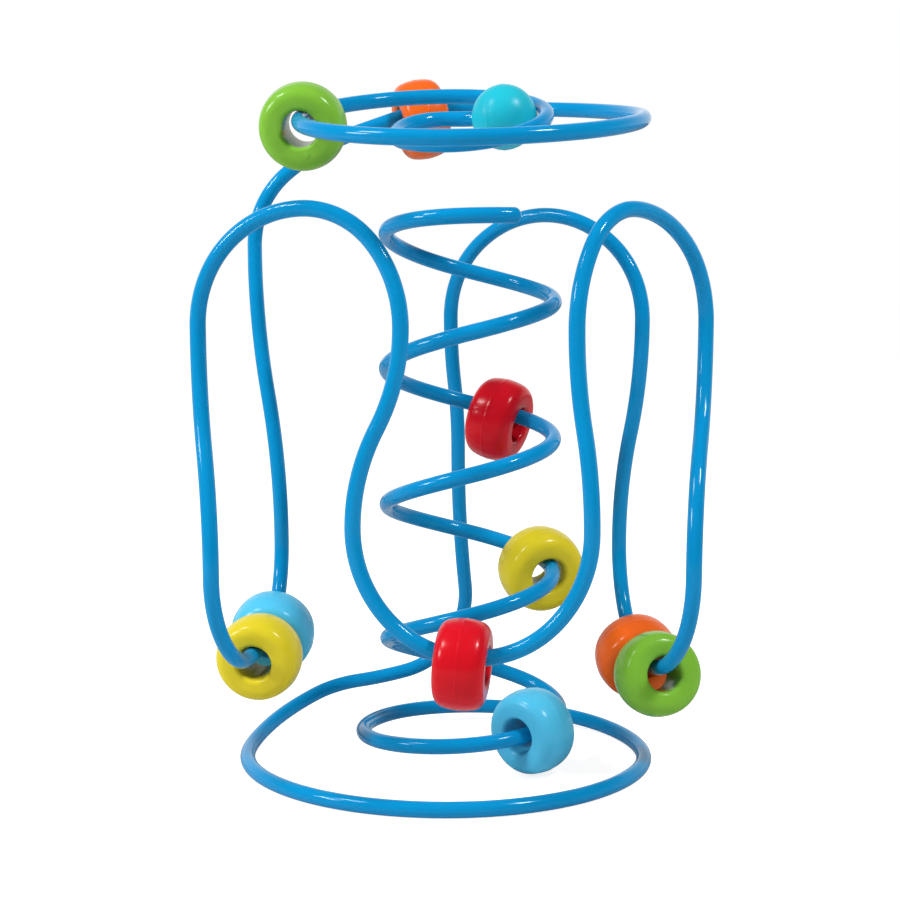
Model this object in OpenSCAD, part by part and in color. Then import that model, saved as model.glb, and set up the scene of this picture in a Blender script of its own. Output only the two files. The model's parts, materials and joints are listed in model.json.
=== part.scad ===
// Bead maze: one long coated wire, bent into a base spiral, an upright coil, a crown of
// arches and dips and a flat spiral on top, with loose ring beads threaded on it.
// Millimetres. +Z is up, the table is z = 0 and the origin is under the middle of the part.
// The wire is a chain of circular arcs that run smoothly into each other, as a bending
// machine makes it. Every height of the wire is measured to its middle.

/* [Wire] */
// Thickness of the wire over its plastic coat
wire_d = 4.3; // [3.5:0.1:5]
// Length of the rounded end of the coat at the top of the coil
tip_l = 1.6; // [0.8:0.1:2]

/* [Beads] */
// Outer diameter of a bead
bead_d = 24; // [20:0.5:26]
// Width of a bead along its bore
bead_w = 13.5; // [10:0.5:15]
// Diameter of the bore
bead_bore = 9.8; // [8.5:0.1:11]
// Radius of the barrel's curve across the width
bead_crown_r = 16; // [12:1:40]
// Radius of the rounded outer corners
bead_fillet = 3.5; // [2:0.1:4]
// Radius of the rounded edges of the bore
bore_fillet = 1.2; // [0.5:0.1:2]
// Room left where a bead rests on the wire, on the table or beside another bead
bead_gap = 0.3; // [0.2:0.05:0.5]

/* [Base spiral] */
// Radius of the ring that stands on the table
ring_r = 57.5; // [52:0.5:62]
// Radius of the inner turn
turn_r = 28.7; // [26:0.1:32]
// Height from which the wire comes down to the ring at the back
ramp_h = 7; // [3:0.5:10]

/* [Coil] */
// Radius of the coil
coil_r = 23.2; // [19:0.2:25]
// Height at which the coil's first turn begins, on the left
coil_start = 38; // [34:0.5:42]
// How far the coil's end stays under the tops of the arches
coil_under = 1.5; // [0:0.5:8]
// How far the coil's front stands over its middle, and the back under it
coil_lean = 1.6; // [0:0.2:4]

/* [Crown] */
// Height of the tops of the arches
arch_top = 157.5; // [145:0.5:162]
// Height at which an arch's legs stand upright
arch_shoulder = 127; // [118:1:132]
// Width of the left and right arches between their legs
arch_w = 58; // [50:1:64]
// Width of the back arch between its legs
back_arch_w = 66; // [58:1:72]
// Height of the bottom of the left dip
left_dip_low = 35.2; // [32:0.2:40]
// Height of the bottom of the right dip
right_dip_low = 30.4; // [28:0.2:36]
// Height at which a side dip's legs stand upright
side_dip_shoulder = 61; // [56:1:70]
// Width of the side dips between their legs
side_dip_w = 63; // [58:1:68]
// Height of the bottom of the front dip
front_dip_low = 42; // [38:0.5:48]
// Height at which the front dip's legs stand upright
front_dip_shoulder = 75; // [70:1:82]
// Width of the front dip between its legs
front_dip_w = 62; // [56:1:68]

/* [Top spiral] */
// Height of the middle of the top spiral over the tops of the arches
top_over = 25.2; // [22:0.2:32]
// Radius of the outer turn at its right end
top_r = 53; // [48:0.5:56]
// How far the back of the spiral stands over its middle, and the front under it
top_lean = 8.5; // [4:0.5:10]
// How far the back of its first quarter stands over its middle
entry_lean = 7.2; // [4:0.2:9]
// How far the inner end stands over the middle
inner_lift = 0.5; // [0:0.5:3]

/* [End ball] */
// Diameter of the ball on the wire's end
ball_d = 18; // [15:0.5:20]
// Depth of the ball's blind bore
ball_bore_l = 10; // [7:0.5:12]
// Room between the wire and the ball's bore, all round
ball_gap = 0.05; // [0.02:0.01:0.1]
// Room between the ball and the turn of the top spiral beside it
ball_clear = 0.4; // [0.2:0.1:2]

/* [Hidden] */
$fn = 48;
UP = [0, 0, 1];
wire_r = wire_d / 2;
// Every second arc of the wire is thinner by this step and reaches into its neighbours by
// this lap, which joins them cleanly into one solid.
arc_step = 0.05;
arc_lap = 0.2;

// Middles of the base ring, of its inner turn, of the coil and of the top spiral, in plan
ring_c = [-2.6, 8.2];
turn_c = [1.8, 10.5];
coil_c = [4.1, -4.5];
top_c = [-2, -9.5];

// Middles of the arches and dips of the crown, in plan, how far a dip's bottom leans in and
// how far it or an arch's top lies along the way
left_dip_c = [-57.7, -8.5];
left_arch_c = [-41.4, -34.5];
front_dip_c = [3.9, -48.5];
right_arch_c = [50.1, -26];
right_dip_c = [55.9, -4.5];
back_arch_c = [26.4, 34.5];
left_dip_lean = 2.6;
right_dip_lean = 1;
left_dip_skew = 10;
left_arch_skew = 2;
right_arch_skew = -5;

// Steps from the crown and the top spiral to the bends of the two free legs
leg_bend_step = [-8, 9.5, 66];
leg_entry_step = [-27.5, -9.1, -7.7];
back_bend_step = [2.3, 0, -41];
back_foot_step = [27.7, 4.3, 6.3];

// Angles of the lower winding, anticlockwise from +X seen from above: where it starts at the
// back, where the ring lies flat and leaves the table, where it has closed in to the inner
// turn, where it opens out to the coil, where the coil starts, levels off and ends
low_start = 135;
flat_from = 180;
close_from = 340;
lift_from = 360;
turn_from = 540;
open_from = 700;
coil_from = 900;
level_from = 1935;
coil_end = 2100;

// Angles of the top spiral, clockwise from +X seen from above
top_start = -90;
top_split = 270;
top_lift_from = 450;
top_lift_to = 630;
top_end = 664;
// The turn beside the ball, on the way in
ball_by = 340;

// Where the beads lie: angles on the windings, a share of the arc behind the top spiral's
// start, angles round the dips, and the way from the left dip's bottom to its first bead.
// The yellow bead on the coil has swung inwards by an angle.
lightblue_base_at = 677;
yellow_coil_at = 1100;
yellow_swing = 38;
red_coil_at = 1506;
green_top_at = 180;
orange_top_at = 0.4;
right_slide = 4;
front_slide = -4;
left_slide = 9.8;

// A bead stands on the table with the inner turn through the middle of its bore
base_bead_z = bead_d / 2 + bead_gap;

// The coil rises evenly and levels off at its end
coil_slope = (arch_top - coil_under - coil_start)
    / (level_from - coil_from + (coil_end - level_from) / 2);

// The top spiral would wind in to its middle in two turns, but its inner end keeps a radius
// that leaves room for the ball beside the turn around it
top_h = arch_top + top_over;
top_pitch = top_r / 2;
ball_tail = ball_bore_l + 0.5;
ball_reach = ball_tail - ball_bore_l + ball_d / 2;
ball_room = top_r - top_pitch * ball_by / 360 - wire_r - ball_clear - ball_d / 2;
top_inner_r = sqrt(ball_room * ball_room - ball_reach * ball_reach);

function unit(v) = v / norm(v);
function mix(a, b, e) = a + (b - a) * e;
function ease(e) = (1 - cos(180 * min(max(e, 0), 1))) / 2;
function curve(z0, m0, z1, m1, e) =
    let (f = 1 - e)
    f * f * (1 + 2 * e) * z0 + e * f * f * m0 + e * e * (1 + 2 * f) * z1 - e * e * f * m1;
function around(c, r, a, z) = [c[0] + r * cos(a), c[1] + r * sin(a), z];

// Lower winding: base ring, inner turn and coil
function low_r(a) =
    a < turn_from
    ? mix(ring_r, turn_r, ease((a - close_from) / (turn_from - close_from)))
    : mix(turn_r, coil_r, ease((a - open_from) / (coil_from - open_from)));
function low_c(a) =
    a < turn_from
    ? mix(ring_c, turn_c, ease((a - close_from) / (turn_from - close_from)))
    : mix(turn_c, coil_c, ease((a - open_from) / (coil_from - open_from)));
function turn_z(a) =
    mix(wire_r, base_bead_z, pow((a - lift_from) / (lightblue_base_at - lift_from), 1.1));
function low_z(a) =
    a < flat_from ? wire_r + ramp_h * pow((flat_from - a) / (flat_from - low_start), 1.5)
    : a < lift_from ? wire_r
    : a < open_from ? turn_z(a)
    : a < coil_from
    ? let (w = coil_from - open_from, rise = turn_z(open_from) - turn_z(open_from - 1))
      curve(turn_z(open_from), rise * w, coil_start, coil_slope * w, (a - open_from) / w)
    : a < level_from ? coil_start + coil_slope * (a - coil_from)
    : let (u = a - level_from)
      coil_start + coil_slope * (level_from - coil_from + u - u * u / (2 * (coil_end - level_from)));
function coil_tilt(a) =
    -coil_lean * sin(a) * ease((a - open_from) / (coil_from - open_from))
    * ease((coil_end - a) / (coil_end - level_from));
function low(a) = around(low_c(a), low_r(a), a, low_z(a) + coil_tilt(a));

// Top spiral
function top_z(b) =
    b < top_lift_from
    ? top_h - (b < 0 ? entry_lean : top_lean) * sin(b)
    : mix(top_h - top_lean, top_h + inner_lift, ease((b - top_lift_from) / (top_lift_to - top_lift_from)));
function top(b) = around(top_c, max(top_inner_r, top_r - top_pitch * b / 360), -b, top_z(b));

// A station is a point of the wire and its direction there
function low_station(a) = [low(a), unit(low(a + 0.5) - low(a - 0.5))];
function top_station(b) = [top(b), unit(top(b + 0.5) - top(b - 0.5))];
function low_run(a, b, n) = [for (i = [0:n]) low_station(a + (b - a) * i / n)];
function top_run(a, b, n) = [for (i = [0:n]) top_station(a + (b - a) * i / n)];

// An arch (rise 1) or a dip (rise -1) of the crown, from one upright leg to the other. It
// stands at c in plan and heads along angle h, and its turn lies off its middle by lean
// towards the inside of the crown and by skew along the heading.
function lobe(c, h, w, apex, shoulder, rise, lean = 0, skew = 0) =
    let (d = [cos(h), sin(h), 0], m = [c[0], c[1], 0], k = [-sin(h), cos(h), 0])
    [[m - w / 2 * d + shoulder * UP, rise * UP],
     [m + lean * k + skew * d + apex * UP, d],
     [m + w / 2 * d + shoulder * UP, -rise * UP]];

left_dip_s = lobe(left_dip_c, -101.7, side_dip_w, left_dip_low, side_dip_shoulder, -1,
    left_dip_lean, left_dip_skew);
left_arch_s = lobe(left_arch_c, -20, arch_w, arch_top, arch_shoulder, 1, skew = left_arch_skew);
front_dip_s = lobe(front_dip_c, -9, front_dip_w, front_dip_low, front_dip_shoulder, -1);
right_arch_s = lobe(right_arch_c, 48, arch_w, arch_top, arch_shoulder, 1, skew = right_arch_skew);
right_dip_s = lobe(right_dip_c, 102.9, side_dip_w, right_dip_low, side_dip_shoulder, -1,
    right_dip_lean);
back_arch_s = lobe(back_arch_c, 147, back_arch_w, arch_top, arch_shoulder, 1);

// Stations of the two free legs: the left one from its dip up to the top spiral, and the
// back one from its arch down to the base ring
leg_bend = [left_dip_s[0][0] + leg_bend_step + (top_h - side_dip_shoulder - 100) * UP,
    unit([0, 0.02, 1])];
leg_entry = [top(top_start) + leg_entry_step, unit([0.85, 0.36, 0.33])];
back_bend = [back_arch_s[2][0] + back_bend_step, -UP];
back_foot = [low(low_start) + back_foot_step, unit([-0.95, -0.05, -0.25])];

// Straight end of the top spiral in the ball
ball_station = top_station(top_end);
ball_c = ball_station[0] + ball_reach * ball_station[1];

// Two arcs join two stations: the point where they meet and the direction there
function biarc(a, b) =
    let (v = b[0] - a[0],
         k = 2 * (1 - a[1] * b[1]),
         s = v * (a[1] + b[1]),
         d = k < 0.000001 ? v * v / (4 * (v * b[1])) : (sqrt(s * s + k * (v * v)) - s) / k,
         p = a[0] + d * a[1],
         q = b[0] - d * b[1])
    [(p + q) / 2, unit(q - p)];

// The arcs through a list of stations, each as its start, its direction there and its end
function arcs(s) =
    [for (i = [0:len(s) - 2])
        let (m = biarc(s[i], s[i + 1]))
        each [[s[i][0], s[i][1], m[0]], [m[0], m[1], s[i + 1][0]]]];

module upright(x, y, z, p)
    multmatrix([for (i = [0:2]) [x[i], y[i], z[i], p[i]]])
        children();

// One arc of wire, reaching past its start and its end by a length
module arc_wire(a, r, before, after) {
    c = a[2] - a[0];
    side = c - (c * a[1]) * a[1];
    u = unit(side);
    bend_r = c * c / (2 * norm(side));
    turn = 2 * atan2(norm(side), c * a[1]);
    back = before / bend_r * 180 / PI;
    ahead = after / bend_r * 180 / PI;
    upright(-u, a[1], cross(-u, a[1]), a[0] + bend_r * u)
        rotate([0, 0, -back])
            rotate_extrude(angle = back + turn + ahead)
                translate([bend_r, 0])
                    circle(wire_r - r);
}

// A stretch of wire through a list of stations, with flat ends
module wire(s) {
    list = arcs(s);
    last = len(list) - 1;
    for (i = [0:last]) {
        thin = i % 2 == 1;
        lap = thin ? arc_lap : 0;
        arc_wire(list[i], thin ? arc_step : 0, lap, i < last ? lap : 0);
    }
}

// Direction square to d that is nearest to v
function across(v, d) = unit(v - (v * d) * d);

// Frame with its z axis along t
module along(p, t) {
    x = across(abs(t[2]) < 0.9 ? UP : [1, 0, 0], t);
    upright(x, cross(t, x), t, p) children();
}

// Profile of half a bead: bore wall, rounded bore edge, flat face, rounded corner, barrel
corner_z = bead_w / 2 - bead_fillet;
corner_t = asin(corner_z / (bead_crown_r - bead_fillet));
corner_x = bead_d / 2 - bead_crown_r + (bead_crown_r - bead_fillet) * cos(corner_t);
edge_x = bead_bore / 2 + bore_fillet;
edge_z = bead_w / 2 - bore_fillet;
function half_profile() = concat(
    [for (i = [0:4]) [edge_x - bore_fillet * cos(i * 22.5), edge_z + bore_fillet * sin(i * 22.5)]],
    [for (i = [0:6])
        let (t = 90 - (90 - corner_t) * i / 6)
        [corner_x + bead_fillet * cos(t), corner_z + bead_fillet * sin(t)]],
    [for (i = [1:3])
        let (t = corner_t * (1 - i / 3))
        [bead_d / 2 - bead_crown_r + bead_crown_r * cos(t), bead_crown_r * sin(t)]]);

module ring_bead() {
    h = half_profile();
    n = len(h);
    rotate_extrude()
        polygon(concat(h, [for (i = [n - 2:-1:0]) [h[i][0], -h[i][1]]]));
}

// A seat is a place on the wire with the circle that the wire follows there:
// point, direction, middle of the circle, its axis and its radius
function seat(a, b, c) =
    let (u = b - a,
         v = c - a,
         n = cross(u, v),
         m = a + (cross(n, u) * (v * v) + cross(v, n) * (u * u)) / (2 * (n * n)))
    [b, unit(cross(n, b - m)), m, unit(n), norm(b - m)];
function low_seat(a) = seat(low(a - 12), low(a), low(a + 12));
function top_seat(b) = seat(top(b - 12), top(b), top(b + 12));
// Round the bottom of a dip by an angle in the way of travel
function dip_seat(s, turn) =
    let (a = arcs(s),
         c = seat(a[1][0], s[1][0], a[2][2]),
         w = s[1][0] - c[2],
         d = s[1][1])
    [c[2] + cos(turn) * w + sin(turn) * cross(c[3], w),
     cos(turn) * d + sin(turn) * cross(c[3], d), c[2], c[3], c[4]];
// On an arc, at a share of its length
function on_arc(a, e) =
    let (c = a[2] - a[0],
         side = c - (c * a[1]) * a[1],
         r = c * c / (2 * norm(side)),
         turn = 2 * e * atan2(norm(side), c * a[1]))
    a[0] + r * (1 - cos(turn)) * unit(side) + r * sin(turn) * a[1];
function arc_seat(a, e) = seat(on_arc(a, 0), on_arc(a, e), on_arc(a, 1));
// On an arc, at a length before its end
function back_seat(a, l) =
    let (c = a[2] - a[0],
         side = norm(c - (c * a[1]) * a[1]),
         turn = 2 * atan2(side, c * a[1]),
         r = c * c / (2 * side))
    arc_seat(a, 1 - l / (r * turn * PI / 180));

// Play between wire and bore, and how far the wire bends within a bead's width
slack = (bead_bore - wire_d) / 2 - bead_gap;
function sag(s) = bead_w * bead_w / 8 / s[4];
function inward(s) = unit(s[2] - s[0]);
// Middle of a bead that hangs in a dip
function hang_in(s) = s[0] - (slack - sag(s)) * inward(s);
// Middle of a bead that hangs on a turn, straight down or swung inwards by an angle
function hang_on(s, swing = 0) =
    let (down = across(-UP, s[1]),
         n = across(inward(s) - (inward(s) * down) * down, s[1]),
         k = max(sag(s) / 2, slack * sin(swing)))
    s[0] + k * n + sqrt(slack * slack - k * k) * down;
// Middle of a bead that stands on the table, pushed inwards from the turn
function stand_on(s) =
    let (n = unit([s[2][0] - s[0][0], s[2][1] - s[0][1], 0]))
    [s[0][0], s[0][1], base_bead_z] + 0.6 * slack * n;

// Half the angle between the two beads of a pair, from their rounded corners
function pair_half(s) =
    let (m = norm(hang_in(s) - s[2]) - corner_x,
         k = bead_fillet + bead_gap / 2)
    atan2(corner_z, m) + asin(k / norm([m, corner_z]));

green_top_s = top_seat(green_top_at);
orange_top_s = arc_seat(arcs([leg_entry, top_station(top_start)])[1], orange_top_at);
red_coil_s = low_seat(red_coil_at);
yellow_coil_s = low_seat(yellow_coil_at);
red_front_s = dip_seat(front_dip_s, front_slide);
lightblue_base_s = low_seat(lightblue_base_at);
left_arc = arcs(left_dip_s)[1];
yellow_left_s = back_seat(left_arc, left_slide);
left_pair = 2 * pair_half(yellow_left_s) / 180 * PI * yellow_left_s[4];
lightblue_left_s = back_seat(left_arc, left_slide + left_pair);
right_half = pair_half(dip_seat(right_dip_s, 0));
orange_right_s = dip_seat(right_dip_s, right_half + right_slide);
green_right_s = dip_seat(right_dip_s, -right_half + right_slide);

blue = "#1684c8";
green = "#7db93c";
orange = "#e1642d";
red = "#cd1928";
yellow = "#d2c02d";
lightblue = "#5ab9e1";
turquoise = "#2db4cd";

module base_ring() { color(blue) wire(low_run(low_start, lift_from, 5)); }
module base_inner_turn() { color(blue) wire(low_run(lift_from, open_from, 6)); }
module coil_foot() { color(blue) wire(low_run(open_from, coil_from, 4)); }
module coil_low() { color(blue) wire(low_run(coil_from, coil_from + 360, 6)); }
module coil_middle() { color(blue) wire(low_run(coil_from + 360, coil_from + 720, 6)); }
module coil_high() { color(blue) wire(low_run(coil_from + 720, coil_end, 8)); }
module left_back_leg() { color(blue) wire([[left_dip_s[0][0], UP], leg_bend, leg_entry]); }
module left_dip() { color(blue) wire(left_dip_s); }
module left_front_leg() { color(blue) wire([left_dip_s[2], left_arch_s[0]]); }
module left_arch() { color(blue) wire(left_arch_s); }
module front_left_leg() { color(blue) wire([left_arch_s[2], front_dip_s[0]]); }
module front_dip() { color(blue) wire(front_dip_s); }
module front_right_leg() { color(blue) wire([front_dip_s[2], right_arch_s[0]]); }
module right_arch() { color(blue) wire(right_arch_s); }
module right_front_leg() { color(blue) wire([right_arch_s[2], right_dip_s[0]]); }
module right_dip() { color(blue) wire(right_dip_s); }
module right_back_leg() { color(blue) wire([right_dip_s[2], back_arch_s[0]]); }
module back_arch() { color(blue) wire(back_arch_s); }
module back_leg() { color(blue) wire([back_arch_s[2], back_bend, back_foot, low_station(low_start)]); }
module top_outer_turn() { color(blue) wire(concat([leg_entry], top_run(top_start, top_split, 7))); }

// The inner turn ends straight, in the ball
module top_inner_turn() {
    color(blue) {
        wire(top_run(top_split, top_end, 8));
        along(ball_station[0] - arc_lap * ball_station[1], ball_station[1])
            cylinder(r = wire_r, h = ball_tail + arc_lap);
    }
}

// Rounded end of the coat
module coil_tip() {
    s = low_station(coil_end);
    dome_r = (wire_r * wire_r + tip_l * tip_l) / (2 * tip_l);
    color(blue)
        along(s[0], s[1])
            rotate_extrude()
                intersection() {
                    translate([0, tip_l - dome_r])
                        circle(dome_r);
                    square([wire_r, tip_l]);
                }
}

// Ball with a blind bore for the wire's end
module end_ball() {
    bore_r = wire_r + ball_gap;
    color(turquoise)
        along(ball_c, ball_station[1])
            rotate_extrude()
                difference() {
                    circle(d = ball_d);
                    translate([-ball_d, -ball_d])
                        square([ball_d, 2 * ball_d]);
                    translate([-bore_r, -ball_d])
                        square([2 * bore_r, ball_d / 2 + ball_bore_l]);
                }
}

module bead_green_top() { color(green) along(hang_on(green_top_s), green_top_s[1]) ring_bead(); }
module bead_orange_top() { color(orange) along(hang_on(orange_top_s), orange_top_s[1]) ring_bead(); }
module bead_red_coil() { color(red) along(hang_on(red_coil_s), red_coil_s[1]) ring_bead(); }
module bead_yellow_coil() {
    color(yellow) along(hang_on(yellow_coil_s, yellow_swing), yellow_coil_s[1]) ring_bead();
}
module bead_red_front() { color(red) along(hang_in(red_front_s), red_front_s[1]) ring_bead(); }
module bead_lightblue_base() {
    color(lightblue) along(stand_on(lightblue_base_s), lightblue_base_s[1]) ring_bead();
}
module bead_yellow_left() { color(yellow) along(hang_in(yellow_left_s), yellow_left_s[1]) ring_bead(); }
module bead_lightblue_left() {
    color(lightblue) along(hang_in(lightblue_left_s), lightblue_left_s[1]) ring_bead();
}
module bead_orange_right() { color(orange) along(hang_in(orange_right_s), orange_right_s[1]) ring_bead(); }
module bead_green_right() { color(green) along(hang_in(green_right_s), green_right_s[1]) ring_bead(); }

base_ring();
base_inner_turn();
coil_foot();
coil_low();
coil_middle();
coil_high();
coil_tip();
left_back_leg();
left_dip();
left_front_leg();
left_arch();
front_left_leg();
front_dip();
front_right_leg();
right_arch();
right_front_leg();
right_dip();
right_back_leg();
back_arch();
back_leg();
top_outer_turn();
top_inner_turn();
end_ball();
bead_green_top();
bead_orange_top();
bead_red_coil();
bead_yellow_coil();
bead_red_front();
bead_lightblue_base();
bead_yellow_left();
bead_lightblue_left();
bead_orange_right();
bead_green_right();
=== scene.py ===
# %% [markdown]
# # Bead maze
# One long wire with a glossy blue coat is bent into a base spiral, an upright coil, a crown
# of arches and dips and a spiral on top. Ten moulded beads slide on it, and a ball closes
# its upper end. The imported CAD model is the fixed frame: it says where everything is.

# %% Load the frame
import json
import math

import bmesh
import bpy
import numpy as np
from mathutils import Matrix, Vector

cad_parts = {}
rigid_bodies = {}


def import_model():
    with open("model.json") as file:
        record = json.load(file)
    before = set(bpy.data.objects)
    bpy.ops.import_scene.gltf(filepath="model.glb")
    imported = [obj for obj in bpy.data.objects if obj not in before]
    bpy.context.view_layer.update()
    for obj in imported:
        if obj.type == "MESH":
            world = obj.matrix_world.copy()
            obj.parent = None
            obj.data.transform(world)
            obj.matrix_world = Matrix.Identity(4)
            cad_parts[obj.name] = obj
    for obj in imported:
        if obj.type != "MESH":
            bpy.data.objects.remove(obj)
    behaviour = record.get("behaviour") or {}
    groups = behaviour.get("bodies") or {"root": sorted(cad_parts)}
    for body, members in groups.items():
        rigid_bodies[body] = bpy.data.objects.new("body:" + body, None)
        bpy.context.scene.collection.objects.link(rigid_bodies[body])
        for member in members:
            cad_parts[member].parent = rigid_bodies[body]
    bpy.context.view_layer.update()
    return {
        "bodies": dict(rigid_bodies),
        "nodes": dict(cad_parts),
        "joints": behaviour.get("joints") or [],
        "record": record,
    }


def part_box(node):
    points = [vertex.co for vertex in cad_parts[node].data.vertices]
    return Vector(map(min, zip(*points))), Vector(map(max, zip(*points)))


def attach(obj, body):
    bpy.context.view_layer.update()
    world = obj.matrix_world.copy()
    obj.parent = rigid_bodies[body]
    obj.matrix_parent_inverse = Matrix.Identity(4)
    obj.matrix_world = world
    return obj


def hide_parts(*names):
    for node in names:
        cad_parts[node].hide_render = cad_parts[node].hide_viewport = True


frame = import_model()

MM = 0.001
TINY = 1e-6
for kind in ("bodies", "nodes", "joints"):
    print(kind + ":", len(frame[kind]))

# %% [markdown]
# ## Camera
# The photograph looks slightly down at the toy from close by, with the toy filling the
# frame. A 72 mm lens on a 36 mm wide sensor gives the same perspective. The camera looks
# along +Y, tipped down by six degrees.

# %% Camera
view = bpy.data.cameras.new("view")
view.sensor_width = 36
view.lens = 72
camera = bpy.data.objects.new("view", view)
camera.location = (-1.5 * MM, -504.5 * MM, 144 * MM)
camera.rotation_euler = (math.radians(84), 0, 0)
bpy.context.scene.collection.objects.link(camera)
bpy.context.scene.camera = camera
bpy.context.scene.view_settings.view_transform = "Standard"
print("camera at", tuple(camera.location))

# %% [markdown]
# ## The wire's route
# A bending machine makes such a wire from plain arcs, each running smoothly into the next.
# The part's source describes the route by stations, which are points with a direction, and
# joins two stations by two arcs. Blender's curves could be bent through the same points, but
# only arcs repeat the solid exactly, so the source's formulas are repeated here, in mm.

# %% Sizes of the wire
UP = Vector((0, 0, 1))
WIRE_R = 2.15
TIP_L = 1.6
ARCH_TOP = 157.5
RING_C, RING_R = Vector((-2.6, 8.2)), 57.5
TURN_C, TURN_R = Vector((1.8, 10.5)), 28.7
COIL_C, COIL_R, COIL_LEAN = Vector((4.1, -4.5)), 23.2, 1.6
COIL_START, COIL_UNDER, RAMP_H, BASE_BEAD_Z = 38, 1.5, 7, 12.3
TURN_RISE, RAMP_RISE = 1.1, 1.5
LOW_START, FLAT_FROM, CLOSE_FROM, LIFT_FROM, TURN_FROM = 135, 180, 340, 360, 540
OPEN_FROM, COIL_FROM, LEVEL_FROM, COIL_END, BASE_BEAD_AT = 700, 900, 1935, 2100, 677
COIL_SPLIT = COIL_FROM + 720
RISING = LEVEL_FROM - COIL_FROM + (COIL_END - LEVEL_FROM) / 2
COIL_SLOPE = (ARCH_TOP - COIL_UNDER - COIL_START) / RISING
print("wire", 2 * WIRE_R, "mm thick, coil rises", round(360 * COIL_SLOPE, 1), "mm a turn")

# %% Sizes of the top spiral and its ball
BALL_D, BALL_BORE_L, BALL_GAP, BALL_CLEAR, BALL_BY = 18, 10, 0.05, 0.4, 340
BALL_OFF = 0.5
BALL_REACH = BALL_D / 2 + BALL_OFF
TOP_C, TOP_H, TOP_R = Vector((-2, -9.5)), ARCH_TOP + 25.2, 53
TOP_PITCH, TOP_LEAN, ENTRY_LEAN, INNER_LIFT = TOP_R / 2, 8.5, 7.2, 0.5
TOP_START, TOP_SPLIT, TOP_LIFT_FROM, TOP_LIFT_TO, TOP_END = -90, 270, 450, 630, 664
BALL_ROOM = TOP_R - TOP_PITCH * BALL_BY / 360 - WIRE_R - BALL_CLEAR - BALL_D / 2
TOP_INNER_R = math.sqrt(BALL_ROOM ** 2 - BALL_REACH ** 2)
print("top spiral at", TOP_H, "mm, inner radius", round(TOP_INNER_R, 2), "mm")

# %% Windings


def mix(a, b, share):
    return a + (b - a) * share


def ease(share):
    return (1 - math.cos(math.pi * min(max(share, 0), 1))) / 2


def curve(z0, m0, z1, m1, e):
    """A height that starts and ends with given slopes."""
    f = 1 - e
    return f * f * (1 + 2 * e) * z0 + e * f * f * m0 + e * e * (1 + 2 * f) * z1 - e * e * f * m1


def around(middle, radius, degrees, z):
    a = math.radians(degrees)
    return Vector((middle.x + radius * math.cos(a), middle.y + radius * math.sin(a), z))


def turn_z(a):
    share = (a - LIFT_FROM) / (BASE_BEAD_AT - LIFT_FROM)
    return mix(WIRE_R, BASE_BEAD_Z, share ** TURN_RISE)


def low_z(a):
    if a < FLAT_FROM:
        return WIRE_R + RAMP_H * ((FLAT_FROM - a) / (FLAT_FROM - LOW_START)) ** RAMP_RISE
    if a < LIFT_FROM:
        return WIRE_R
    if a < OPEN_FROM:
        return turn_z(a)
    if a < COIL_FROM:
        w = COIL_FROM - OPEN_FROM
        rise = (turn_z(OPEN_FROM) - turn_z(OPEN_FROM - 1)) * w
        return curve(turn_z(OPEN_FROM), rise, COIL_START, COIL_SLOPE * w, (a - OPEN_FROM) / w)
    if a < LEVEL_FROM:
        return COIL_START + COIL_SLOPE * (a - COIL_FROM)
    u, levelling = a - LEVEL_FROM, COIL_END - LEVEL_FROM
    return COIL_START + COIL_SLOPE * (LEVEL_FROM - COIL_FROM + u - u * u / (2 * levelling))


def coil_tilt(a):
    """The coil's front stands a little higher than its back."""
    begin = ease((a - OPEN_FROM) / (COIL_FROM - OPEN_FROM))
    end = ease((COIL_END - a) / (COIL_END - LEVEL_FROM))
    return -COIL_LEAN * math.sin(math.radians(a)) * begin * end


def low(a):
    """Base ring, inner turn and coil, by the angle from +X."""
    if a < TURN_FROM:
        share = ease((a - CLOSE_FROM) / (TURN_FROM - CLOSE_FROM))
        return around(mix(RING_C, TURN_C, share), mix(RING_R, TURN_R, share), a, low_z(a))
    share = ease((a - OPEN_FROM) / (COIL_FROM - OPEN_FROM))
    middle, radius = mix(TURN_C, COIL_C, share), mix(TURN_R, COIL_R, share)
    return around(middle, radius, a, low_z(a) + coil_tilt(a))


def top(b):
    """Top spiral, by the angle clockwise from +X."""
    if b < TOP_LIFT_FROM:
        z = TOP_H - (ENTRY_LEAN if b < 0 else TOP_LEAN) * math.sin(math.radians(b))
    else:
        share = ease((b - TOP_LIFT_FROM) / (TOP_LIFT_TO - TOP_LIFT_FROM))
        z = mix(TOP_H - TOP_LEAN, TOP_H + INNER_LIFT, share)
    return around(TOP_C, max(TOP_INNER_R, TOP_R - TOP_PITCH * b / 360), -b, z)


def run(winding, first, last, spans):
    """Stations along a winding: each is a point and the direction there."""
    angles = [mix(first, last, i / spans) for i in range(spans + 1)]
    return [(winding(a), (winding(a + 0.5) - winding(a - 0.5)).normalized()) for a in angles]


print("coil ends at", [round(x, 1) for x in low(COIL_END)], "mm")

# %% Arches and dips


def lobe(x, y, heading, width, apex, shoulder, rise, lean=0, skew=0):
    """An arch (rise 1) or a dip (rise -1), from one upright leg to the other."""
    h = math.radians(heading)
    along, inward = Vector((math.cos(h), math.sin(h), 0)), Vector((-math.sin(h), math.cos(h), 0))
    foot = Vector((x, y, 0))
    return [
        (foot - along * width / 2 + UP * shoulder, UP * rise),
        (foot + inward * lean + along * skew + UP * apex, along),
        (foot + along * width / 2 + UP * shoulder, -UP * rise),
    ]


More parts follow.
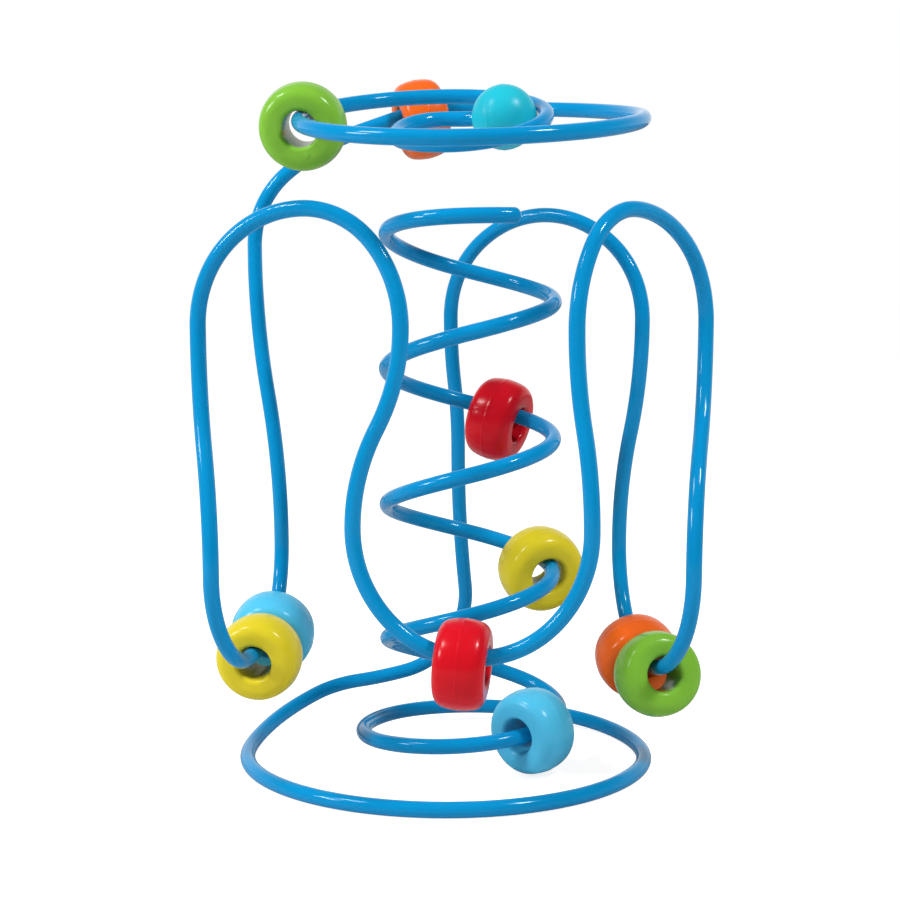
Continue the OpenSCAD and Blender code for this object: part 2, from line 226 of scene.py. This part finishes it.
DIP_SHOULDER = 61
LEFT_DIP = lobe(-57.7, -8.5, -101.7, 63, 35.2, DIP_SHOULDER, -1, lean=2.6, skew=10)
LEFT_ARCH = lobe(-41.4, -34.5, -20, 58, ARCH_TOP, 127, 1, skew=2)
FRONT_DIP = lobe(3.9, -48.5, -9, 62, 42, 75, -1)
RIGHT_ARCH = lobe(50.1, -26, 48, 58, ARCH_TOP, 127, 1, skew=-5)
RIGHT_DIP = lobe(55.9, -4.5, 102.9, 63, 30.4, DIP_SHOULDER, -1, lean=1)
BACK_ARCH = lobe(26.4, 34.5, 147, 66, ARCH_TOP, 127, 1)
CROWN = LEFT_DIP + LEFT_ARCH + FRONT_DIP + RIGHT_ARCH + RIGHT_DIP + BACK_ARCH
print("stations in the crown:", len(CROWN))

# %% Free legs and the whole route


def unit(x, y, z):
    return Vector((x, y, z)).normalized()


LEG_BEND = (LEFT_DIP[0][0] + Vector((-8, 9.5, TOP_H - DIP_SHOULDER - 34)), unit(0, 0.02, 1))
LEG_ENTRY = (top(TOP_START) + Vector((-27.5, -9.1, -7.7)), unit(0.85, 0.36, 0.33))
BACK_BEND = (BACK_ARCH[2][0] + Vector((2.3, 0, -41)), -UP)
BACK_FOOT = (low(LOW_START) + Vector((27.7, 4.3, 6.3)), unit(-0.95, -0.05, -0.25))


def turned(stations):
    """The same stations travelled the other way."""
    return [(point, -along) for point, along in reversed(stations)]


lower_end = [BACK_BEND, BACK_FOOT] + run(low, LOW_START, LIFT_FROM, 5)
lower_end += run(low, LIFT_FROM, OPEN_FROM, 6)[1:] + run(low, OPEN_FROM, COIL_FROM, 4)[1:]
lower_end += run(low, COIL_FROM, COIL_SPLIT, 12)[1:] + run(low, COIL_SPLIT, COIL_END, 8)[1:]
upper_end = [CROWN[0][:1] + (UP,), LEG_BEND, LEG_ENTRY] + run(top, TOP_START, TOP_SPLIT, 7)
upper_end += run(top, TOP_SPLIT, TOP_END, 8)[1:]
ROUTE = turned(upper_end) + CROWN[1:] + lower_end
print("stations along the wire:", len(ROUTE))

# %% [markdown]
# ## Finishes
# Everything on this toy is smooth plastic: a thick coat on the wire, and solid moulded beads.
# Such plastic is glossy, a touch uneven in colour and softened by fine rub marks from little
# hands. One node group makes those marks for every finish, and each material gives it its own
# colour and amounts. Image maps could do this too, but noise has no seams on a bent wire.

# %% Node helper


def add(tree, kind, settings=(), inputs=()):
    """Adds a node, sets its settings and fills or links its inputs."""
    made = tree.nodes.new(kind)
    for name, value in dict(settings).items():
        setattr(made, name, value)
    for name, value in dict(inputs).items():
        if isinstance(value, bpy.types.NodeSocket):
            tree.links.new(value, made.inputs[name])
        else:
            made.inputs[name].default_value = value
    return made


# %% Group: handled plastic
CLOUD_SCALE, PATCH_SCALE, SKIN_SCALE = 70, 45, 160
SCRATCHES = (((0.3, 0.2, 0.9), (90, 1400, 90)), ((0.9, 1.1, 0.2), (1500, 80, 110)))
SCRATCH_RANGE = {"From Min": 0.62, "From Max": 0.74}
PATCH_RANGE = {"From Min": 0.45, "From Max": 0.7}
CLOUD_SHARE, SKIN_SHARE, SCRATCH_DEPTH = 0.6, 0.6, 0.02


def handled_plastic_group():
    group = bpy.data.node_groups.new("handled_plastic", "ShaderNodeTree")
    for name, kind in (
        ("Color", "NodeSocketColor"),
        ("Mottle", "NodeSocketFloat"),
        ("Gloss", "NodeSocketFloat"),
        ("Rub", "NodeSocketFloat"),
    ):
        group.interface.new_socket(name=name, in_out="INPUT", socket_type=kind)
    for name, kind in (
        ("Color", "NodeSocketColor"),
        ("Roughness", "NodeSocketFloat"),
        ("Height", "NodeSocketFloat"),
    ):
        group.interface.new_socket(name=name, in_out="OUTPUT", socket_type=kind)
    given, out = group.nodes.new("NodeGroupInput").outputs, group.nodes.new("NodeGroupOutput")
    place = add(group, "ShaderNodeTexCoord").outputs["Object"]

    def noise(scale, detail, where=place):
        inputs = {"Vector": where, "Scale": scale, "Detail": detail}
        return add(group, "ShaderNodeTexNoise", {}, inputs).outputs["Fac"]

    def math_of(kind, a, b):
        return add(group, "ShaderNodeMath", {"operation": kind}, {0: a, 1: b}).outputs[0]

    cloud = math_of("SUBTRACT", noise(CLOUD_SCALE, 2), 0.5)
    shade = math_of("MULTIPLY_ADD", cloud, given["Mottle"])
    shade.node.inputs[2].default_value = 1
    tint = add(
        group, "ShaderNodeVectorMath", {"operation": "SCALE"}, {0: given["Color"], "Scale": shade}
    )

    scratch = None
    for turn, stretch in SCRATCHES:
        drawn = {"Vector": place, "Rotation": turn, "Scale": stretch}
        lines = noise(1, 3, add(group, "ShaderNodeMapping", {}, drawn).outputs[0])
        sharp = add(group, "ShaderNodeMapRange", {}, {"Value": lines, **SCRATCH_RANGE}).outputs[0]
        scratch = sharp if scratch is None else math_of("MAXIMUM", scratch, sharp)
    patch = add(group, "ShaderNodeMapRange", {}, {"Value": noise(PATCH_SCALE, 3), **PATCH_RANGE})
    rubbed = math_of("MULTIPLY", scratch, patch.outputs[0])
    worn = math_of("ADD", rubbed, math_of("MULTIPLY", cloud, CLOUD_SHARE))
    rough = math_of("MULTIPLY_ADD", worn, given["Rub"])
    group.links.new(given["Gloss"], rough.node.inputs[2])
    skin = math_of("MULTIPLY", noise(SKIN_SCALE, 1), SKIN_SHARE)
    height = math_of("SUBTRACT", skin, math_of("MULTIPLY", rubbed, SCRATCH_DEPTH))

    group.links.new(tint.outputs["Vector"], out.inputs["Color"])
    group.links.new(rough, out.inputs["Roughness"])
    group.links.new(height, out.inputs["Height"])
    return group


HANDLED_PLASTIC = handled_plastic_group()
print("group:", HANDLED_PLASTIC.name)

# %% Materials
SHEEN = 0.16


def plastic(name, color, mottle, gloss, rub, wave):
    """A glossy plastic. Wave is the depth of its surface's slow unevenness, in mm."""
    material = bpy.data.materials.new(name)
    material.use_nodes = True
    tree = material.node_tree
    shader = tree.nodes["Principled BSDF"]
    marks = add(
        tree, "ShaderNodeGroup", {"node_tree": HANDLED_PLASTIC},
        {"Color": (*color, 1), "Mottle": mottle, "Gloss": gloss, "Rub": rub},
    ).outputs
    relief = {"Strength": 1, "Distance": wave * MM, "Height": marks["Height"]}
    bump = add(tree, "ShaderNodeBump", {}, relief)
    tree.links.new(marks["Color"], shader.inputs["Base Color"])
    tree.links.new(marks["Roughness"], shader.inputs["Roughness"])
    tree.links.new(bump.outputs["Normal"], shader.inputs["Normal"])
    shader.inputs["Specular IOR Level"].default_value = SHEEN
    return material


WIRE_COAT = plastic("wire_coat", (0.002, 0.236, 0.510), 0.14, 0.09, 0.02, 0.006)
BALL_TURQUOISE = plastic("ball_turquoise", (0.012, 0.440, 0.550), 0.12, 0.32, 0.05, 0.008)
BEAD_FINISH = {
    "green": plastic("bead_green", (0.180, 0.430, 0.038), 0.12, 0.20, 0.04, 0.008),
    "orange": plastic("bead_orange", (0.735, 0.115, 0.012), 0.12, 0.20, 0.04, 0.008),
    "red": plastic("bead_red", (0.560, 0.005, 0.013), 0.12, 0.20, 0.04, 0.008),
    "yellow": plastic("bead_yellow", (0.630, 0.515, 0.020), 0.12, 0.22, 0.04, 0.008),
    "lightblue": plastic("bead_lightblue", (0.075, 0.468, 0.710), 0.12, 0.22, 0.04, 0.008),
}
print("finishes:", [m.name for m in bpy.data.materials if m.use_nodes])

# %% [markdown]
# ## The coated wire
# The real wire is drawn, coated and then bent. Here a circle is carried along the route:
# each bend is one spin of the last ring about the axis of its arc, as on the bending machine,
# so the tube has no seams and never twists. A length between two stations is bent by itself
# and then merged with the rest, which is many times faster. The end at the coil is rounded,
# because the coat is melted over the cut, and the other end is hidden in the ball.

# %% Helpers for the mesh


def piece(name, bm, body, replaced, material):
    """Turns a bmesh into a finished piece that rides on its body."""
    bmesh.ops.recalc_face_normals(bm, faces=bm.faces)
    mesh = bpy.data.meshes.new(name)
    bm.to_mesh(mesh)
    bm.free()
    mesh.polygons.foreach_set("use_smooth", [True] * len(mesh.polygons))
    mesh.materials.append(material)
    made = bpy.data.objects.new(name, mesh)
    bpy.context.scene.collection.objects.link(made)
    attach(made, body)
    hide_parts(*replaced)
    print(name, "faces:", len(mesh.polygons))
    return made


def verts_of(geom):
    return [g for g in geom if isinstance(g, bmesh.types.BMVert)]


def edges_of(geom):
    return [g for g in geom if isinstance(g, bmesh.types.BMEdge)]


def frame_along(point, direction, toward=UP):
    """A matrix whose Z axis lies along a direction and whose X axis leans toward another."""
    z = direction.normalized()
    x = (toward - toward.dot(z) * z).normalized()
    turn = Matrix((x, z.cross(x), z)).transposed().to_4x4()
    return Matrix.Translation(point) @ turn


# %% Bending
WIRE_SIDES = 32
RING_EVERY = 1.2
RING_TURN = math.radians(6)
DOME_RINGS, DOME_TURN = 6, 14


def bend(bm, ring, start, heading, end):
    """Carries the ring along one arc and returns the last ring and the arc's length."""
    chord = end - start
    side = chord - chord.dot(heading) * heading
    if side.length < TINY * chord.length:
        steps = math.ceil(chord.length / (RING_EVERY * MM))
        made = bmesh.ops.spin(
            bm, geom=ring, cent=start, axis=heading, dvec=chord / steps, angle=0, steps=steps
        )
        return made["geom_last"], chord.length
    radius = chord.length_squared / (2 * side.length)
    angle = 2 * math.atan2(side.length, chord.dot(heading))
    toward = side.normalized()
    steps = math.ceil(max(radius * angle / (RING_EVERY * MM), angle / RING_TURN))
    made = bmesh.ops.spin(
        bm, geom=ring, cent=start + toward * radius, axis=heading.cross(toward),
        angle=angle, steps=steps,
    )
    return made["geom_last"], radius * angle


def meet(a, b):
    """Two arcs join two stations: the point where they meet and the direction there."""
    v, k, s = b[0] - a[0], 2 * (1 - a[1].dot(b[1])), (b[0] - a[0]).dot(a[1] + b[1])
    if k < TINY:
        reach = v.length_squared / (4 * v.dot(b[1]))
    else:
        reach = (math.sqrt(s * s + k * v.length_squared) - s) / k
    p, q = a[0] + reach * a[1], b[0] - reach * b[1]
    return (p + q) / 2, (q - p).normalized()


def round_end(bm, ring, end):
    """Domes the last ring, in a few extrusions that shrink towards the tip."""
    dome_r = (WIRE_R ** 2 + TIP_L ** 2) / (2 * TIP_L)
    edges, height, radius = edges_of(ring), 0, WIRE_R
    for step in range(1, DOME_RINGS + 1):
        tall = TIP_L * math.sin(math.radians(DOME_TURN * step))
        wide = math.sqrt(max(dome_r ** 2 - (tall + dome_r - TIP_L) ** 2, 0))
        made = bmesh.ops.extrude_edge_only(bm, edges=edges)["geom"]
        edges = edges_of(made)
        rim = verts_of(made)
        bmesh.ops.translate(bm, verts=rim, vec=end[1] * (tall - height) * MM)
        centre = end[0] + end[1] * tall * MM
        shrink = wide / radius
        bmesh.ops.scale(bm, verts=rim, vec=(shrink,) * 3, space=Matrix.Translation(-centre))
        height, radius = tall, wide
    bmesh.ops.pointmerge(bm, verts=rim, merge_co=end[0] + end[1] * TIP_L * MM)


def keep(whole, length):
    """Adds a finished length to the whole wire."""
    store = bpy.data.meshes.new("length")
    length.to_mesh(store)
    whole.from_mesh(store)
    length.free()
    bpy.data.meshes.remove(store)


def next_length(whole, bm, ring):
    """Starts the next length with a twin of the last ring. Short lengths spin much faster."""
    fresh = bmesh.new()
    twin = {v: fresh.verts.new(v.co) for v in verts_of(ring)}
    edges = [fresh.edges.new([twin[v] for v in e.verts]) for e in edges_of(ring)]
    keep(whole, bm)
    return fresh, list(twin.values()) + edges


def bent_wire():
    whole, bm = bmesh.new(), bmesh.new()
    stations = [(point * MM, along) for point, along in ROUTE]
    tail = (BALL_BORE_L + BALL_OFF) * MM
    first = (stations[0][0] - stations[0][1] * tail, stations[0][1])
    bmesh.ops.create_circle(
        bm, cap_ends=False, segments=WIRE_SIDES, radius=WIRE_R * MM, matrix=frame_along(*first)
    )
    bmesh.ops.edgeloop_fill(bm, edges=bm.edges)
    ring, length = bm.verts[:] + bm.edges[:], tail
    ring, _ = bend(bm, ring, first[0], first[1], stations[0][0])
    for a, b in zip(stations[:-1], stations[1:]):
        middle = meet(a, b)
        bm, ring = next_length(whole, bm, ring)
        for start, end in ((a, middle), (middle, b)):
            ring, arc = bend(bm, ring, start[0], start[1], end[0])
            length += arc
    round_end(bm, ring, stations[-1])
    keep(whole, bm)
    bmesh.ops.remove_doubles(whole, verts=whole.verts, dist=TINY)
    open_edges = sum(e.is_boundary for e in whole.edges)
    print("wire length:", round(length, 3), "m, open edges:", open_edges)
    return whole


# %% Make the wire
wire_nodes = [n for n in frame["record"]["behaviour"]["bodies"]["wire_frame"] if n != "end_ball"]
piece("coated_wire", bent_wire(), "wire_frame", wire_nodes, WIRE_COAT)

# %% [markdown]
# ## The beads
# Each bead is a moulded ring with a crowned barrel, round corners, flat faces and a wide
# bore. The two halves of the mould leave a fine raised line round the middle, and the plastic
# enters through a small gate that leaves a nub on one face. The half profile is drawn by
# spinning a single vertex round each fillet's middle; it is mirrored at the mould line and
# spun round the bore. A lathe-like profile keeps every edge as round as on the solid.

# %% Bead profile
BEAD_R, BEAD_W, BORE_R, CROWN_R = 12, 13.5, 4.9, 16
CORNER, BORE_EDGE = 3.5, 1.2
LINE_W, LINE_H, LINE_FLAT = 0.25, 0.06, 0.1
GATE_R, GATE_H, GATE_AT, GATE_TURN = 0.85, 0.16, 7.2, 195
GATE_SUNK, GATE_EDGE = 0.3, 0.12
BORE_RINGS, CORNER_RINGS, CROWN_RINGS, BEAD_STEPS = 6, 9, 8, 112


def sweep(bm, last, middle, degrees, steps):
    """Draws an arc of the profile from the last vertex, round a middle in the XZ plane."""
    made = bmesh.ops.spin(
        bm, geom=[last], cent=(middle[0] * MM, 0, middle[1] * MM), axis=(0, 1, 0),
        angle=math.radians(degrees), steps=steps,
    )
    return verts_of(made["geom_last"])[0]


def reach(bm, last, x, z):
    """Draws a straight line of the profile to a point in the XZ plane."""
    made = bmesh.ops.extrude_vert_indiv(bm, verts=[last])
    made["verts"][0].co = (x * MM, 0, z * MM)
    return made["verts"][0]


def revolve(bm, steps):
    """Spins the whole profile round the Z axis into a closed shell."""
    bmesh.ops.spin(
        bm, geom=bm.verts[:] + bm.edges[:], cent=(0, 0, 0), axis=(0, 0, 1),
        angle=math.tau, steps=steps, use_merge=True,
    )
    bmesh.ops.remove_doubles(bm, verts=bm.verts, dist=TINY)


def bead_shell():
    bm = bmesh.new()
    crown_r, top_z = CROWN_R - LINE_H, BEAD_W / 2
    crown_x, corner_z = BEAD_R - CROWN_R, BEAD_W / 2 - CORNER
    lean = math.degrees(math.asin(corner_z / (crown_r - CORNER)))
    corner_x = crown_x + (crown_r - CORNER) * math.cos(math.radians(lean))
    line = math.degrees(math.asin(LINE_W / crown_r))
    last = bm.verts.new((BORE_R * MM, 0, 0))
    last = reach(bm, last, BORE_R, top_z - BORE_EDGE)
    last = sweep(bm, last, (BORE_R + BORE_EDGE, top_z - BORE_EDGE), 90, BORE_RINGS)
    last = reach(bm, last, corner_x, top_z)
    last = sweep(bm, last, (corner_x, corner_z), 90 - lean, CORNER_RINGS)
    last = sweep(bm, last, (crown_x, 0), lean - line, CROWN_RINGS)
    last = reach(bm, last, BEAD_R, LINE_FLAT)
    reach(bm, last, BEAD_R, 0)
    bmesh.ops.mirror(bm, geom=bm.verts[:] + bm.edges[:], merge_dist=TINY, axis="Z")
    revolve(bm, BEAD_STEPS)
    return bm


def gate_nub(bm, degrees):
    """A low rounded nub on the upper face, sunk a little into it."""
    a, depth = math.radians(degrees), GATE_H + GATE_SUNK
    height = BEAD_W / 2 + GATE_H - depth / 2
    place = Vector((GATE_AT * math.cos(a), GATE_AT * math.sin(a), height)) * MM
    bmesh.ops.create_cone(
        bm, cap_ends=True, segments=20, radius1=GATE_R * MM, radius2=GATE_R * MM,
        depth=depth * MM, matrix=Matrix.Translation(place),
    )
    rim_z = place.z + depth * MM / 2 - TINY
    rim = [e for e in bm.edges if all(v.co.z > rim_z for v in e.verts)]
    bmesh.ops.bevel(
        bm, geom=rim, offset=GATE_EDGE * MM, affect="EDGES", segments=3, profile=0.5, material=-1
    )


# %% Make the beads
TOWARD_CAMERA = Vector((0, -1, 0))


def bore_of(node):
    """A bead's bore runs along the direction in which its surface spreads least."""
    faces = frame["nodes"][node].data.polygons
    area, away = np.array([f.area for f in faces]), np.array([f.center for f in faces])
    away -= np.average(away, axis=0, weights=area)
    return Vector(np.linalg.eigh((away * area[:, None]).T @ away)[1][:, 0])


for joint in frame["joints"]:
    body = joint["child"]
    node = frame["record"]["behaviour"]["bodies"][body][0]
    low_corner, high_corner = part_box(node)
    middle = (low_corner + high_corner) / 2
    bore = bore_of(node)
    gate_in_front = node == "bead_green_top"
    if (bore.dot(TOWARD_CAMERA) > 0) != gate_in_front:
        bore = -bore
    color = node.split("_")[1]
    bead = bead_shell()
    gate_nub(bead, GATE_TURN)
    bmesh.ops.transform(bead, matrix=frame_along(middle, bore), verts=bead.verts)
    piece(body, bead, body, [node], BEAD_FINISH[color])

# %% [markdown]
# ## The end ball
# A solid turquoise ball is pressed on the wire's upper end, so that no bead comes off there.
# Its mould line runs round its middle, square to the bore. The profile is half a circle from
# the bore's mouth to the far side, spun round the bore, which gives a clean round mouth.

# %% Make the ball
BALL_EDGE, MOUTH_ROUND, BALL_STEPS = 0.35, 0.3, 96


def ball_shell():
    bm = bmesh.new()
    ball_r, bore_r = BALL_D / 2, WIRE_R + BALL_GAP
    skin_r = ball_r - LINE_H
    mouth = math.degrees(math.asin((bore_r + BALL_EDGE) / skin_r))
    mouth_z = -skin_r * math.cos(math.radians(mouth))
    line = math.degrees(LINE_W / skin_r)
    line_x, line_z = skin_r * math.cos(math.radians(line)), skin_r * math.sin(math.radians(line))
    floor_z = BALL_BORE_L - ball_r
    last = bm.verts.new((0, 0, floor_z * MM))
    last = reach(bm, last, bore_r, floor_z)
    inset = MOUTH_ROUND * BALL_EDGE
    last = reach(bm, last, bore_r, mouth_z + BALL_EDGE)
    last = reach(bm, last, bore_r + inset, mouth_z + inset)
    last = reach(bm, last, bore_r + BALL_EDGE, mouth_z)
    last = sweep(bm, last, (0, 0), -(90 - mouth - line), 20)
    last = reach(bm, last, ball_r, -LINE_FLAT)
    last = reach(bm, last, ball_r, LINE_FLAT)
    last = reach(bm, last, line_x, line_z)
    sweep(bm, last, (0, 0), -(90 - line), 24)
    revolve(bm, BALL_STEPS)
    return bm


ball_low, ball_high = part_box("end_ball")
ball = ball_shell()
ball_place = frame_along((ball_low + ball_high) / 2, -ROUTE[0][1])
bmesh.ops.transform(ball, matrix=ball_place, verts=ball.verts)
piece("end_ball_turquoise", ball, "wire_frame", ["end_ball"], BALL_TURQUOISE)

# %% [markdown]
# ## Studio
# The photograph stands on a white sweep and is lit by a two-pane soft box on the left and a
# smaller lamp high on the right: both show as reflections on the ball. The white sweep behind
# gives the pale rims, and the dim room in front and above keeps the colours deep where a
# surface faces it. The floor stays white but keeps a soft shadow. A photographed surrounding
# could light the toy too, but a few lamps and a plain gradient are easier to read and change.

# %% Rays


def ray(tree, *kinds):
    """1 for rays of any of these kinds."""
    path = add(tree, "ShaderNodeLightPath").outputs
    found = path["Is " + kinds[0] + " Ray"]
    for kind in kinds[1:]:
        either = {0: found, 1: path["Is " + kind + " Ray"]}
        found = add(tree, "ShaderNodeMath", {"operation": "MAXIMUM"}, either).outputs[0]
    return found


# %% Floor
FLOOR_HALF, FLOOR_GREY, PAPER_GREY = 20, 0.8, 0.5
GLOW, GLOW_MIRRORED = 0.84, 0.05
floor_bm = bmesh.new()
bmesh.ops.create_grid(floor_bm, x_segments=1, y_segments=1, size=FLOOR_HALF)
floor_mesh = bpy.data.meshes.new("floor")
floor_bm.to_mesh(floor_mesh)
floor_bm.free()
floor = bpy.data.objects.new("floor", floor_mesh)
bpy.context.scene.collection.objects.link(floor)

floor_white = bpy.data.materials.new("floor_white")
floor_white.use_nodes = True
tree = floor_white.node_tree
paper = add(tree, "ShaderNodeBsdfDiffuse", {}, {"Color": (*[PAPER_GREY] * 3, 1)})
glow_level = add(
    tree, "ShaderNodeMapRange", {},
    {"Value": ray(tree, "Camera", "Transmission"), "To Min": GLOW_MIRRORED, "To Max": GLOW},
).outputs[0]
glow = add(tree, "ShaderNodeEmission", {}, {"Color": (1, 1, 1, 1), "Strength": glow_level})
shown = add(tree, "ShaderNodeAddShader", {}, {0: paper.outputs[0], 1: glow.outputs[0]})
plain = add(tree, "ShaderNodeBsdfDiffuse", {}, {"Color": (*[FLOOR_GREY] * 3, 1)})
seen = ray(tree, "Camera", "Glossy", "Transmission")
both = add(tree, "ShaderNodeMixShader", {}, {0: seen, 1: plain.outputs[0], 2: shown.outputs[0]})
tree.links.new(both.outputs[0], tree.nodes["Material Output"].inputs["Surface"])
floor_mesh.materials.append(floor_white)
print("floor:", 2 * FLOOR_HALF, "m wide, glow", GLOW)

# %% World
DAY, ROOM = 0.35, 0.08
SWEEP_RANGE = {"From Min": -0.35, "From Max": 0.6, "To Min": ROOM, "To Max": 1}
world = bpy.data.worlds.new("studio")
bpy.context.scene.world = world
world.use_nodes = True
tree = world.node_tree
background = tree.nodes["Background"]
background.inputs["Color"].default_value = (1, 1, 1, 1)
direction = add(tree, "ShaderNodeTexCoord").outputs["Generated"]
way = add(tree, "ShaderNodeSeparateXYZ", {}, {0: direction}).outputs
low_behind = add(
    tree, "ShaderNodeMath", {"operation": "SUBTRACT"}, {0: way["Y"], 1: way["Z"]}
).outputs[0]
sweep_light = add(
    tree, "ShaderNodeMapRange", {"interpolation_type": "SMOOTHSTEP"},
    {"Value": low_behind, **SWEEP_RANGE},
).outputs[0]
mirrored = add(
    tree, "ShaderNodeMapRange", {},
    {"Value": ray(tree, "Glossy"), "To Min": DAY, "To Max": sweep_light},
).outputs[0]
direct = ray(tree, "Camera", "Transmission")
level = add(tree, "ShaderNodeMapRange", {}, {"Value": direct, "To Min": mirrored, "To Max": 1})
tree.links.new(level.outputs[0], background.inputs["Strength"])
print("world light:", DAY, "room in front:", ROOM)

# %% Lamps
AIM = Vector((0, 0, 0.1))


def soft_box(name, place, width, height, watts):
    lamp = bpy.data.lights.new(name, "AREA")
    lamp.shape = "RECTANGLE"
    lamp.size, lamp.size_y, lamp.energy = width, height, watts
    made = bpy.data.objects.new(name, lamp)
    made.matrix_world = frame_along(Vector(place), Vector(place) - AIM)
    bpy.context.scene.collection.objects.link(made)
    print(name, watts, "W")


soft_box("upper_pane", (-0.62, -0.24, 0.80), 0.17, 0.22, 4.0)
soft_box("lower_pane", (-0.78, -0.28, 0.46), 0.17, 0.22, 4.0)
soft_box("right_lamp", (0.49, -0.34, 0.78), 0.15, 0.15, 5.2)
